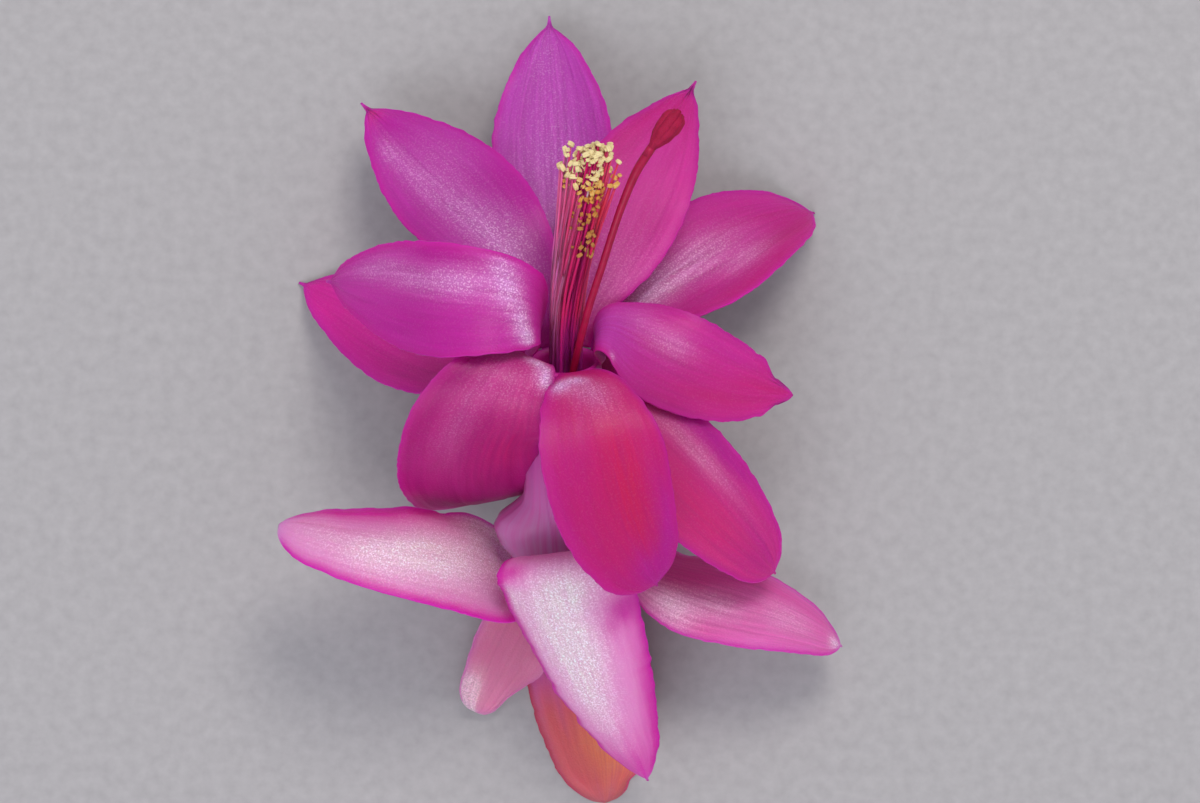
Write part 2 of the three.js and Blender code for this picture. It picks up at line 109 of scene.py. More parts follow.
def add(tree, kind, inputs=None, **settings):
    """A shader node with its settings. Each input is a value or another node's output."""
    node = tree.nodes.new("ShaderNode" + kind)
    for name, value in settings.items():
        setattr(node, name, value)
    for name, value in (inputs or {}).items():
        if isinstance(value, bpy.types.NodeSocket):
            tree.links.new(value, node.inputs[name])
        else:
            node.inputs[name].default_value = value
    return node


def new_material(name):
    material = bpy.data.materials.new(name)
    material.use_nodes = True
    material.node_tree.nodes.clear()
    return material, material.node_tree


def green_rind():
    """Smooth living rind: waxy, olive green, flushed with pink in soft patches."""
    material, tree = new_material("green_rind")
    place = add(tree, "TexCoord").outputs["Object"]
    cloud = add(tree, "TexNoise", {"Vector": place, "Scale": 600.0, "Detail": 3.0})
    flush = add(tree, "MapRange", {
        "Value": cloud.outputs["Fac"], "From Min": 0.42, "From Max": 0.66,
    })
    colour = add(tree, "Mix", {
        0: flush.outputs[0], 6: linear("9aa05c"), 7: linear("b96a7c"),
    }, data_type="RGBA")
    cells = add(tree, "TexVoronoi", {"Vector": place, "Scale": 6000.0})
    bump = add(tree, "Bump", {
        "Height": cells.outputs["Distance"], "Strength": 0.15, "Distance": 0.00005,
    })
    skin = add(tree, "BsdfPrincipled", {
        "Base Color": colour.outputs[2], "Roughness": 0.42, "Normal": bump.outputs[0],
        "Subsurface Weight": 0.3, "Subsurface Radius": (0.8, 0.9, 0.4),
        "Subsurface Scale": 0.0006,
    })
    add(tree, "OutputMaterial", {"Surface": skin.outputs[0]})
    return material


ovary = turned([
    (0.0, -1.0), (0.7, -0.98), (0.95, -1.15), (1.15, -1.36), (1.45, -1.4), (1.7, -1.15),
    (2.05, -0.5), (2.45, 0.4), (2.72, 1.4), (2.8, 2.4), (2.74, 3.3), (2.66, 3.9), (2.74, 4.46),
    (0.0, 4.46),
], OVARY_STEPS)
for vert in ovary.verts:
    rise, around, out = place_on_flower(vert.co / MM)
    corner = 0.05 * math.cos(OVARY_CORNERS * around + 0.4) * min(1, max(0, (rise + 1.3) / 2))
    side = vert.co / MM - on_flower(rise, 0, 0)
    vert.co += side * (corner - 0.02) * MM
piece("ovary_rind", ovary, green_rind(), "ovary_skin", "ovary")

# ---- Floral tube -----------------------------------------------------------
# The stalks of all the tepals, grown together into one fleshy tube, open at the mouth. Each
# overlaps the next, so soft steps and veins run up the outside. It is greyed pink at its foot,
# lilac higher up and magenta at the mouth.
TUBE_OUTSIDE = [
    (2.74, 4.46), (3.1, 4.9), (3.3, 5.4), (3.34, 7.0), (3.36, 8.5), (3.42, 10.3), (3.5, 12.0),
    (3.56, 14.0), (3.6, 16.0), (3.53, 18.5), (3.4, 21.0), (3.34, 23.0), (3.28, 25.0),
    (3.2, 26.4), (3.05, 27.1),
]
TUBE_INSIDE = [
    (2.75, 27.15), (2.55, 26.6), (2.5, 23.0), (2.55, 19.0), (2.55, 14.0), (2.3, 9.0),
    (1.9, 7.2), (1.2, 6.6), (0.0, 6.5),
]


def tube_flesh():
    """Fleshy petal tissue: satin, half clear, with veins running up it."""
    material, tree = new_material("tube_flesh")
    around = add(tree, "UVMap", uv_map="round_tube")
    parts = add(tree, "SeparateXYZ", {0: around.outputs[0]})
    stretch = add(tree, "Mapping", {
        "Vector": around.outputs[0], "Scale": (46.0, 2.2, 1.0),
    })
    veins = add(tree, "TexNoise", {
        "Vector": stretch.outputs[0], "Scale": 1.0, "Detail": 3.0, "Roughness": 0.6,
    })
    height = add(tree, "ValToRGB", {0: parts.outputs[1]})
    ramp = height.color_ramp
    ramp.elements[0].color = linear("c8a0b4")
    ramp.elements[1].color = linear("c8209a")
    for at, code in ((0.25, "c488bc"), (0.45, "be74b4"), (0.62, "bc4ca4"), (0.8, "c81a94")):
        ramp.elements.new(at).color = linear(code)
    fading = add(tree, "MapRange", {
        "Value": parts.outputs[1], "From Min": 0.5, "From Max": 0.8, "To Min": 1.0, "To Max": 0.0,
    })
    streak = add(tree, "MapRange", {
        "Value": veins.outputs["Fac"], "From Min": 0.35, "From Max": 0.68,
        "To Max": fading.outputs[0],
    })
    colour = add(tree, "Mix", {
        0: streak.outputs[0], 6: height.outputs[0], 7: linear("c85ca8"),
    }, data_type="RGBA")
    edge = add(tree, "Attribute", attribute_name="lap")
    lapped = add(tree, "Mix", {
        0: edge.outputs["Fac"], 6: colour.outputs[2], 7: linear("b03a94"),
    }, data_type="RGBA")
    bump = add(tree, "Bump", {
        "Height": veins.outputs["Fac"], "Strength": 0.3, "Distance": 0.0001,
    })
    skin = add(tree, "BsdfPrincipled", {
        "Base Color": lapped.outputs[2], "Roughness": 0.36, "Normal": bump.outputs[0],
        "Subsurface Weight": 0.5, "Subsurface Radius": (1.0, 0.4, 0.7),
        "Subsurface Scale": 0.001,
    })
    add(tree, "OutputMaterial", {"Surface": skin.outputs[0]})
    return material


def closer(profile, gap):
    """The same profile with points no further apart than the gap, in mm."""
    points = [profile[0]]
    for (out_a, rise_a), (out_b, rise_b) in zip(profile, profile[1:]):
        count = math.ceil(math.hypot(out_b - out_a, rise_b - rise_a) / gap)
        points += [
            (out_a + (out_b - out_a) * i / count, rise_a + (rise_b - rise_a) * i / count)
            for i in range(1, count + 1)
        ]
    return points


TUBE_STEPS = 150
OUTSIDE_ROWS = 0.45
# The flank on the left swells below the outer left tepal: (rise, how much further out).
FLANK = [(0, 0), (5.4, 0), (7, 0.4), (8.5, 1.5), (10, 2.6), (11.5, 3.0), (12.4, 2.5), (13.3, 1.3),
         (14.2, 0.3), (16, 0), (30, 0)]
FLANK_AROUND = -92
FLANK_SPREAD = 40
# The edge of each stalk winds a little round the tube as it climbs: (angle, wind, rise, top).
LAPS = [(-16, -14, 11.0, 22.5), (62, 10, 9.5, 21.0), (128, -12, 10.0, 22.0), (-84, 9, 11.5, 23.0),
        (-150, 12, 9.0, 21.5)]
LAP_STEP = 0.1
LAP_SPREAD = 30
# The veins' map runs up the tube from a rise of 4.4 mm, for 22.8 mm.
MAP_FOOT = 4.4
MAP_REACH = 22.8

tube = turned(closer(TUBE_OUTSIDE, OUTSIDE_ROWS) + TUBE_INSIDE, TUBE_STEPS)
lap = tube.verts.layers.float.new("lap")
round_tube = tube.loops.layers.uv.new("round_tube")
for vert in tube.verts:
    rise, around, out = place_on_flower(vert.co / MM)
    degrees = math.degrees(around)
    step = 0.0
    if out > 2.9 and rise > 5:
        for at, wind, low, high in LAPS:
            up = (rise - low) / (high - low)
            if 0 <= up <= 1:
                edge = at + wind * math.sin(math.pi * up)
                off = (degrees - edge + 180) % 360 - 180
                fade = min(1, up / 0.15, (1 - up) / 0.15)
                if 0 <= off < LAP_SPREAD:
                    step += LAP_STEP * fade * (1 - off / LAP_SPREAD)
                vert[lap] = max(vert[lap], fade * math.exp(-(off / 1.6) ** 2) * 0.55)
        step += 0.05 * noise.noise(Vector((5 * math.cos(around), 5 * math.sin(around), rise * 0.1)))
        for (low, at_low), (high, at_high) in zip(FLANK, FLANK[1:]):
            if low <= rise < high:
                swelling = at_low + (at_high - at_low) * (rise - low) / (high - low)
        off = (degrees - FLANK_AROUND + 180) % 360 - 180
        step += swelling * math.exp(-((off / FLANK_SPREAD) ** 2))
    side = vert.co / MM - on_flower(rise, 0, 0)
    if side.length > 0.01:
        vert.co += side.normalized() * (step - 0.04) * MM
for face in tube.faces:
    turns = [place_on_flower(v.co / MM) for v in face.verts]
    first = turns[0][1]
    for loop, (rise, around, out) in zip(face.loops, turns):
        around += math.tau * round((first - around) / math.tau)
        loop[round_tube].uv = (around / math.tau + 0.5, (rise - MAP_FOOT) / MAP_REACH)
piece("tube_flesh", tube, tube_flesh(), "tube_skin", "floral_tube")

# ---- Tepals ----------------------------------------------------------------
# Fifteen thin fleshy blades: ten bright magenta inner ones at the mouth, five paler outer ones
# along the tube, bent back and resting on each other. Each grows by a narrow clasping root and
# ends in a fine soft point; the margins are thinner, deeper in colour and slightly toothed.
def smooth(x):
    x = min(1.0, max(0.0, x))
    return x * x * (3 - 2 * x)


def turn_pair(first, second, degrees):
    """Turns two square directions in their own plane, the first towards the second."""
    c, s = math.cos(math.radians(degrees)), math.sin(math.radians(degrees))
    return first * c + second * s, second * c - first * s


class Blade:
    """The middle sheet of one tepal, from its measured sizes: angles in degrees, lengths in mm."""

    STEPS = 128

    def __init__(self, size, tip_from):
        self.size = size
        self.tip_from = tip_from
        turn = math.radians(size["around"])
        outward = RIGHT * math.sin(turn) + FRONT * math.cos(turn)
        along, inner = turn_pair(AXIS, outward, size["lean_root"])
        inner = -inner
        across = along.cross(inner)
        point = on_flower(size["rise"], size["around"], size["out"])
        self.frames = []
        for i in range(self.STEPS + 1):
            here, after = i / self.STEPS, (i + 1) / self.STEPS
            self.frames.append((point.copy(), along, inner, across))
            along, inner = turn_pair(along, inner, self.lean(here) - self.lean(after))
            along, across = turn_pair(along, across, self.swing(after) - self.swing(here))
            inner, across = turn_pair(inner, across, self.twisted(after) - self.twisted(here))
            point += along * (size["length"] / self.STEPS)

    def lean(self, s):
        size = self.size
        start, end = size["bend_from"] / size["length"], size["bend_to"] / size["length"]
        bend = (size["lean_bend"] - size["lean_root"]) * smooth((s - start) / (end - start))
        return size["lean_root"] + bend + size["curl"] * s * s

    def swing(self, s):
        return self.size["skew"] * smooth(s / 0.25) + self.size["sweep"] * s

    def twisted(self, s):
        return self.size["twist"] * smooth(s / 0.6)

    def half_width(self, s):
        size = self.size
        root = size["root_width"] / size["width"]
        if s < size["widest"]:
            share = root + (1 - root) * math.sin(math.pi / 2 * s / size["widest"]) ** 1.3
        else:
            v = min(1.0, (s - size["widest"]) / (self.tip_from - size["widest"]))
            share = max(0.0, 1 - v * v) ** size["taper"]
        # A fine soft point stands on the blade's end.
        point = 0.05 * min(1.0, (1 - s) / 0.14) * smooth((s - 0.8) / 0.12)
        finest = 0.1 + 0.14 * smooth((1 - s) / 0.04)
        return max(size["width"] / 2 * (share + point), finest)

    def hollow(self, s):
        size = self.size
        wrap = math.degrees(size["root_width"] / 2 / size["out"])
        share = smooth(s / 0.32)
        return math.radians(wrap * (1 - share) + (size["cup"] + size["tip_cup"] * s * s) * share)

    def at(self, t, s, half):
        """The point across (-1 to 1) and along (0 to 1) the blade, and the inner face's normal."""
        place = min(s * self.STEPS, self.STEPS - 1e-6)
        low = int(place)
        share = place - low
        point, along, inner, across = (
            a.lerp(b, share) for a, b in zip(self.frames[low], self.frames[low + 1])
        )
        bow = self.hollow(s)
        bow = bow if abs(bow) > 1e-4 else 1e-4
        spot = point + across * (half * math.sin(bow * t) / bow)
        spot += inner * (half * (1 - math.cos(bow * t)) / bow)
        normal = inner * math.cos(bow * t) - across * math.sin(bow * t)
        return spot, normal.normalized()


def patch(t, s, patches):
    """How strongly a place lies in any of the soft oval patches (t, s, half t, half s, depth)."""
    total = 0.0
    for at_t, at_s, wide, tall, depth in patches:
        off = ((t - at_t) / wide) ** 2 + ((s - at_s) / tall) ** 2
        total += depth * math.exp(-off)
    return min(1.0, max(0.0, total))


def crease(t, s, folds, half, length):
    """Depth in mm of the sharp lengthwise folds (t, s) to (t, s), with depth and width in mm."""
    depth = 0.0
    for t_a, s_a, t_b, s_b, fold, width in folds:
        way = Vector(((t_b - t_a) * half, (s_b - s_a) * length))
        gone = Vector(((t - t_a) * half, (s - s_a) * length))
        share = min(1.0, max(0.0, gone.dot(way) / way.length_squared))
        off = (gone - way * share).length
        fade = math.sin(math.pi * (0.08 + 0.84 * share))
        depth += fold * fade * math.exp(-(off / width) ** 2)
    return depth


BLADE_COLUMNS = 56
BLADE_ROWS = 104
BLADE_THICK = 0.5
THINNEST_SHARE = 0.2
ROOT_BOW = 0.42


def blade_mesh(size, look, seed):
    """A grid laid on the blade's sheet, with its margin, veins and folds, in metres."""
    blade = Blade(size, look.get("tip_from", 0.955))
    mesh = bmesh.new()
    bmesh.ops.create_grid(
        mesh, x_segments=BLADE_COLUMNS, y_segments=BLADE_ROWS, size=1, calc_uvs=False,
    )
    paint = {name: mesh.verts.layers.float.new(name) for name in ("pale_and_highlight", "flush", "warm", "rim")}
    thick = mesh.verts.layers.float.new("thick")
    uv = mesh.loops.layers.uv.new("blade")
    spots = {}
    for vert in mesh.verts:
        # The columns lie closer together towards the margins.
        t = (vert.co.x + math.sin(math.pi / 2 * vert.co.x)) / 2
        s = (vert.co.y + 1) / 2
        spots[vert] = (t, s)
        half = blade.half_width(s)
        side = 1 if t > 0 else -1
        open_part = smooth((s - 0.1) / 0.15) * smooth((0.985 - s) / 0.05)
        # Teeth and nicks along the two margins.
        tooth = noise.noise(Vector((s * size["length"] * 1.1, side * 7.0, seed)))
        tooth += 0.5 * noise.noise(Vector((s * size["length"] * 2.6, side * 5.0, seed + 9)))
        ragged = 0.11 * tooth * open_part * look.get("ragged", 1.0)
        cut = 0.0
        for at_side, at_s, depth, wide in look.get("nicks", []):
            if at_side == side:
                cut -= depth * math.exp(-(((s - at_s) * size["length"]) / wide) ** 2)
        # A nick stays under half of the width, so that the margin never folds back.
        cut = max(cut, -0.45 * half)
        half_here = half + ragged * abs(t) ** 5 + cut * abs(t)
        spot, normal = blade.at(t, s, half_here)
        # Ribs, swellings, waved margins and folds lift the sheet; its root bows outwards.
        ribs = noise.noise(Vector((t * 6.5 + seed, s * 1.1, seed * 0.3)))
        ribs += 0.5 * noise.noise(Vector((t * 14.0 - seed, s * 2.0, seed * 0.7)))
        swell = noise.noise(Vector((t * 1.3, s * 3.6, seed + 3.0)))
        wave = noise.noise(Vector((side * 3.0 + seed, s * size["length"] * 0.32, 1.0)))
        lift = (0.045 * ribs + 0.16 * swell) * open_part
        lift += wave * look.get("wavy", 0.25) * abs(t) ** 3 * open_part
        lift += crease(t, s, look.get("folds", []), half, size["length"])
        lift -= ROOT_BOW * (1 - smooth(s / 0.07))
        vert.co = (spot + normal * lift) * MM
        to_margin = (1 - abs(t)) * half_here
        # Pale patches: partly the tepal's own paler tone, partly painted sheen and highlights where
        # it bends.
        vert[paint["pale_and_highlight"]] = patch(t, s, look.get("pale_and_highlight", []))
        vert[paint["flush"]] = patch(t, s, look.get("flush", []))
        vert[paint["warm"]] = patch(t, s, look.get("warm", []))
        width = look.get("rim_width", 0.4)
        vert[paint["rim"]] = math.exp(-((to_margin / width) ** 2)) * smooth((0.995 - s) / 0.05)
        vert[thick] = smooth(0.15 + to_margin / 1.6) * (0.35 + 0.65 * smooth((1 - s) / 0.08))
        # No blade sinks into the surface that the flower lies on.
        vert.co.z = max(vert.co.z, (0.05 + 0.2 * vert[thick]) * MM)
    for face in mesh.faces:
        for loop in face.loops:
            t, s = spots[loop.vert]
            loop[uv].uv = ((t + 1) / 2, s)
    bmesh.ops.recalc_face_normals(mesh, faces=mesh.faces)
    if sum(face.normal.dot(blade_way(blade, spots, face)) for face in mesh.faces) < 0:
        bmesh.ops.reverse_faces(mesh, faces=mesh.faces)
    return mesh


def blade_way(blade, spots, face):
    t, s = spots[face.verts[0]]
    return blade.at(t, s, blade.half_width(s))[1]


def petal_tissue(name, size, look, seed):
    """Petal skin: thin, half clear, satin, with fine veins from root to tip. Pale patches are
    partly its own paler tone, partly painted sheen and highlights, with painted glints of its
    cells."""
    material, tree = new_material(name)
    blade = add(tree, "UVMap", uv_map="blade").outputs[0]
    object_place = add(tree, "TexCoord").outputs["Object"]
    paint = {
        mask: add(tree, "Attribute", attribute_name=mask).outputs["Fac"]
        for mask in ("pale_and_highlight", "flush", "warm", "rim")
    }
    # Veins are about 0.4 mm apart across the blade and 8 mm long.
    vein_place = add(tree, "Mapping", {
        "Vector": blade, "Location": (seed * 3.1, seed * 1.7, seed),
        "Scale": (size["width"] * 2.6, size["length"] * 0.12, 1.0),
    })
    veins = add(tree, "TexNoise", {
        "Vector": vein_place.outputs[0], "Scale": 1.0, "Detail": 4.0, "Roughness": 0.62,
    })
    broad_place = add(tree, "Mapping", {
        "Vector": blade, "Location": (seed * 1.3, seed * 2.9, seed),
        "Scale": (size["width"] * 0.5, size["length"] * 0.09, 1.0),
    })
    broad = add(tree, "TexNoise", {
        "Vector": broad_place.outputs[0], "Scale": 1.0, "Detail": 3.0, "Roughness": 0.55,
    })
    # The cells are finer in life; they are drawn 0.15 mm apart so that they show.
    cells = add(tree, "TexNoise", {
        "Vector": object_place, "Scale": 6800.0, "Detail": 1.0, "Roughness": 0.5,
    })
    streaks = add(tree, "MapRange", {
        "Value": veins.outputs["Fac"], "From Min": 0.3, "From Max": 0.7,
        "To Min": -0.5, "To Max": 0.5,
    })
    clouds = add(tree, "MapRange", {
        "Value": broad.outputs["Fac"], "From Min": 0.3, "From Max": 0.7,
        "To Min": -0.5, "To Max": 0.5,
    })
    flush = add(tree, "Math", {0: clouds.outputs[0], 1: 0.5, 2: paint["flush"]},
                operation="MULTIPLY_ADD")
    flushed = add(tree, "Mix", {
        0: flush.outputs[0], 6: linear(look["colour"]), 7: linear(look["deep"]),
    }, data_type="RGBA")
    warm = add(tree, "Math", {0: streaks.outputs[0], 1: paint["warm"], 2: paint["warm"]},
               operation="MULTIPLY_ADD")
    warmed = add(tree, "Mix", {
        0: warm.outputs[0], 6: flushed.outputs[2], 7: linear(look.get("warm_colour", "d8304f")),
    }, data_type="RGBA")
    # Pale patches, streaked by the veins: partly the tepal's own paler tone, partly painted sheen
    # and highlights.
    highlight_share = add(tree, "Math", {0: streaks.outputs[0], 1: 0.5, 2: 0.8}, operation="MULTIPLY_ADD")
    highlight_share = add(tree, "Math", {0: highlight_share.outputs[0], 1: paint["pale_and_highlight"]}, operation="MULTIPLY")
    highlighted = add(tree, "Mix", {
        0: highlight_share.outputs[0], 6: warmed.outputs[2], 7: linear(look["pale"]),
    }, data_type="RGBA")
    # Painted glints: the cells are flecked near white, densest in the highlighted patches.
    painted_glint_cells = add(tree, "MapRange", {
        "Value": cells.outputs["Fac"], "From Min": 0.53, "From Max": 0.68,
    })
    sparse = add(tree, "Math", {0: paint["pale_and_highlight"], 1: look.get("glint_strength", 0.8), 2: 0.02},
                 operation="MULTIPLY_ADD")
    painted_glints = add(tree, "Math", {0: painted_glint_cells.outputs[0], 1: sparse.outputs[0]},
                 operation="MULTIPLY")
    highlighted = add(tree, "Mix", {
        0: painted_glints.outputs[0], 6: highlighted.outputs[2], 7: linear("fbeaf8"),
    }, data_type="RGBA")
    rimmed = add(tree, "Mix", {
        0: paint["rim"], 6: highlighted.outputs[2], 7: linear(look["margin"]),
    }, data_type="RGBA")
    tone = add(tree, "Math", {0: streaks.outputs[0], 1: look.get("streaky", 0.16), 2: 1.0},
               operation="MULTIPLY_ADD")
    # The cells also lighten and darken the highlighted patches a little: more painted glint.
    glint_tone = add(tree, "MapRange", {
        "Value": cells.outputs["Fac"], "From Min": 0.35, "From Max": 0.65,
        "To Min": -0.15, "To Max": 0.15,
    })
    tone = add(tree, "Math", {0: glint_tone.outputs[0], 1: paint["pale_and_highlight"], 2: tone.outputs[0]},
               operation="MULTIPLY_ADD")
    tinted = add(tree, "Mix", {
        0: 1.0, 6: rimmed.outputs[2], 7: tone.outputs[0],
    }, data_type="RGBA", blend_type="MULTIPLY")
    relief = add(tree, "Math", {0: veins.outputs["Fac"], 1: 0.6, 2: cells.outputs["Fac"]},
                 operation="MULTIPLY_ADD")
    bump = add(tree, "Bump", {
        "Height": relief.outputs[0], "Strength": 0.5, "Distance": 0.00006,
    })
    skin = add(tree, "BsdfPrincipled", {
        "Base Color": tinted.outputs[2], "Normal": bump.outputs[0], "Roughness": 0.42,
        "Specular IOR Level": 0.22, "Subsurface Weight": 0.85,
        "Subsurface Radius": (1.0, 0.3, 0.7), "Subsurface Scale": 0.0016,
    })
    add(tree, "OutputMaterial", {"Surface": skin.outputs[0]})
    return material


def tepal(node, slot, size, look, seed):
    """One tepal, grown by its size and painted by its look; its margins are its thinnest part."""
    name = node.replace("tepal_", "")
    material = petal_tissue(name + "_tissue", size, look, seed)
    made = piece(name + "_blade", blade_mesh(size, look, seed), material, slot, node)
    weights = made.vertex_groups.new(name="thick")
    for i, value in enumerate(made.data.attributes["thick"].data):
        weights.add([i], value.value, "REPLACE")
    solid = made.modifiers.new("thickness", "SOLIDIFY")
    solid.thickness = BLADE_THICK * MM
    solid.offset = 0
    solid.vertex_group = "thick"
    solid.thickness_vertex_group = THINNEST_SHARE
    solid.use_even_offset = False


tepal(
    "tepal_inner_top", "inner_tepal",
    dict(
        around=183, rise=24.9, out=4.1, length=32.6, width=10.8, root_width=2.9,
        widest=0.56, taper=0.85, lean_root=18, lean_bend=48, curl=4,
        bend_from=1.6, bend_to=16.7, skew=-1, sweep=1, twist=-6, cup=21, tip_cup=-10,
    ),
    dict(
        colour="ae36a6", deep="a82098", pale="cb90d2", margin="bd2098", streaky=0.3,
        pale_and_highlight=[(0.0, 0.45, 0.7, 0.34, 0.24), (-0.2, 0.88, 0.5, 0.1, 0.14),
               (-0.6, 0.2, 0.5, 0.2, 0.2)], glint_strength=0.5, tip_from=0.968,
        flush=[(0.95, 0.5, 0.3, 0.5, 0.5)], folds=[(0.1, 0.95, 0.0, 0.6, 0.12, 0.5)],
    ),
    1,
)
tepal(
    "tepal_inner_top_left", "inner_tepal",
    dict(
        around=-145, rise=27.2, out=2.9, length=30.3, width=10.8, root_width=2,
        widest=0.5, taper=0.85, lean_root=12, lean_bend=69, curl=-1,
        bend_from=2.4, bend_to=13.7, skew=-14, sweep=-3, twist=-15, cup=17, tip_cup=-12,
    ),
    dict(
        colour="b02e9c", deep="ae0e94", pale="d498d4", margin="b81a90", tip_from=0.968,
        glint_strength=0.6,
        pale_and_highlight=[(-0.3, 0.68, 0.24, 0.16, 0.3), (-0.1, 0.48, 0.28, 0.14, 0.34),
               (0.05, 0.3, 0.5, 0.14, 0.5), (0.3, 0.66, 0.4, 0.12, 0.14),
               (-0.5, 0.8, 0.2, 0.05, 0.25)],
        flush=[(0.78, 0.43, 0.28, 0.17, 1.3), (0.0, 0.88, 0.9, 0.07, 0.8),
               (-0.95, 0.5, 0.3, 0.3, 0.3)],
        warm=[(0.0, 0.96, 1.0, 0.04, 0.7)], warm_colour="d02078",
        folds=[(-0.38, 0.81, -0.05, 0.4, 0.16, 0.3), (-0.15, 0.8, 0.1, 0.45, -0.1, 0.3),
               (-0.6, 0.84, -0.25, 0.82, 0.14, 0.25)],
    ),
    2,
)
tepal(
    "tepal_inner_top_right", "inner_tepal",
    dict(
        around=159, rise=27.2, out=2.9, length=27.5, width=10.4, root_width=2.1,
        widest=0.43, taper=0.96, lean_root=28, lean_bend=58, curl=9,
        bend_from=2.9, bend_to=21.4, skew=12, sweep=4, twist=13, cup=10, tip_cup=-11,
    ),
    dict(
        colour="c22e92", deep="b61078", pale="dc98cc", margin="b81784", tip_from=0.965,
        pale_and_highlight=[(0.3, 0.22, 0.8, 0.16, 0.35)], glint_strength=0.3,
        flush=[(0.0, 0.9, 0.9, 0.16, 0.85), (-0.7, 0.66, 0.4, 0.25, 0.6)],
        wavy=0.35,
    ),
    3,
)
tepal(
    "tepal_inner_right", "inner_tepal",
    dict(
        around=132, rise=23.6, out=4.1, length=28.9, width=11.1, root_width=2.9,
        widest=0.48, taper=0.75, lean_root=28, lean_bend=62, curl=45,
        bend_from=1.1, bend_to=9.3, skew=5, sweep=9, twist=23, cup=19, tip_cup=4,
    ),
    dict(
        colour="bb2790", deep="b21476", pale="e0b4dc", margin="bb1a88", tip_from=0.985,
        pale_and_highlight=[(-0.2, 0.3, 0.4, 0.1, 0.6), (-0.1, 0.48, 0.3, 0.16, 0.45),
               (0.4, 0.62, 0.2, 0.1, 0.25)], glint_strength=0.6,
        flush=[(0.3, 0.85, 0.8, 0.2, 0.8), (0.85, 0.5, 0.3, 0.3, 0.7)],
        folds=[(-0.3, 0.2, 0.1, 0.55, 0.22, 0.35), (-0.05, 0.22, 0.3, 0.6, -0.15, 0.3)],
    ),
    4,
)
tepal(
    "tepal_inner_right_front", "inner_tepal",
    dict(
        around=86.8, rise=27.2, out=2.9, length=21, width=9, root_width=2.1,
        widest=0.37, taper=0.62, lean_root=-3.2, lean_bend=116.2, curl=12.5,
        bend_from=1.4, bend_to=4.5, skew=37.7, sweep=-28.1, twist=39.9, cup=2.4, tip_cup=2.6,
    ),
    dict(
        colour="be2490", deep="b81a74", pale="dca6d8", margin="b91a84", tip_from=1.0,
        # The small spot at its root edge, 1.0 across and 0.2 along, is a painted highlight.
        pale_and_highlight=[(-0.5, 0.27, 0.35, 0.07, 0.12), (-0.25, 0.42, 0.25, 0.1, 0.32),
               (1.0, 0.2, 0.16, 0.014, 1.5)], glint_strength=0.45,
        flush=[(0.0, 0.9, 1.0, 0.2, 0.7), (0.5, 0.6, 0.5, 0.25, 0.6)], ragged=1.5,
        warm=[(0.0, 0.12, 1.2, 0.16, 0.8)], warm_colour="ae38a6",
        nicks=[(-1, 0.92, 1.1, 1.2), (-1, 0.8, 0.15, 0.3), (1, 0.93, 0.9, 1.1),
               (1, 0.84, 0.25, 0.4)],
    ),
    5,
)
tepal(
    "tepal_inner_lower_right", "inner_tepal",
    dict(
        around=45.9, rise=24.4, out=4.1, length=25, width=10.1, root_width=2.9,
        widest=0.38, taper=0.53, lean_root=24, lean_bend=144.6, curl=21.8,
        bend_from=0, bend_to=3.3, skew=-27.8, sweep=-9.6, twist=28, cup=11.3, tip_cup=16.1,
    ),
    dict(
        colour="c22c80", deep="aa1488", pale="dc9ec4", margin="b91c84", tip_from=0.985,
        pale_and_highlight=[(-0.45, 0.42, 0.16, 0.22, 0.4)], glint_strength=0.3,
        # Its first flush patch is partly its own deeper violet, partly painted shade beyond a fold.
        flush=[(-0.9, 0.45, 0.35, 0.28, 1.4), (0.0, 0.9, 1.0, 0.15, 0.5)],
        warm=[(0.3, 0.6, 0.5, 0.25, 0.5)], warm_colour="c41e6a",
        folds=[(-0.6, 0.25, -0.45, 0.6, 0.14, 0.4)],
    ),
    6,
)
tepal(
    "tepal_inner_front", "inner_tepal",
    dict(
        around=15.2, rise=27.2, out=2.9, length=26.3, width=10.8, root_width=2.1,
        widest=0.5, taper=0.44, lean_root=70.2, lean_bend=170, curl=22,
        bend_from=0, bend_to=16.3, skew=20.3, sweep=-55, twist=-5, cup=6, tip_cup=4,
    ),
    dict(
        colour="b6146c", deep="ac1288", pale="cc94cc", margin="ac1478", tip_from=0.985,
        # Its first two pale patches are a painted highlight near its root.
        pale_and_highlight=[(0.72, 0.205, 0.25, 0.035, 1.0), (0.3, 0.165, 0.35, 0.03, 0.9),
               (0.0, 0.23, 0.5, 0.06, 0.4), (-0.2, 0.3, 0.35, 0.06, 0.14)], glint_strength=0.45,
        flush=[(0.85, 0.5, 0.3, 0.5, 0.5), (-0.4, 0.95, 1.0, 0.12, 1.3),
               (-0.95, 0.75, 0.3, 0.2, 1.1)],
        warm=[(-0.3, 0.47, 0.3, 0.15, 0.4), (-0.25, 0.68, 0.3, 0.18, 0.45)],
        warm_colour="c01448", streaky=0.1,
    ),
    7,
)
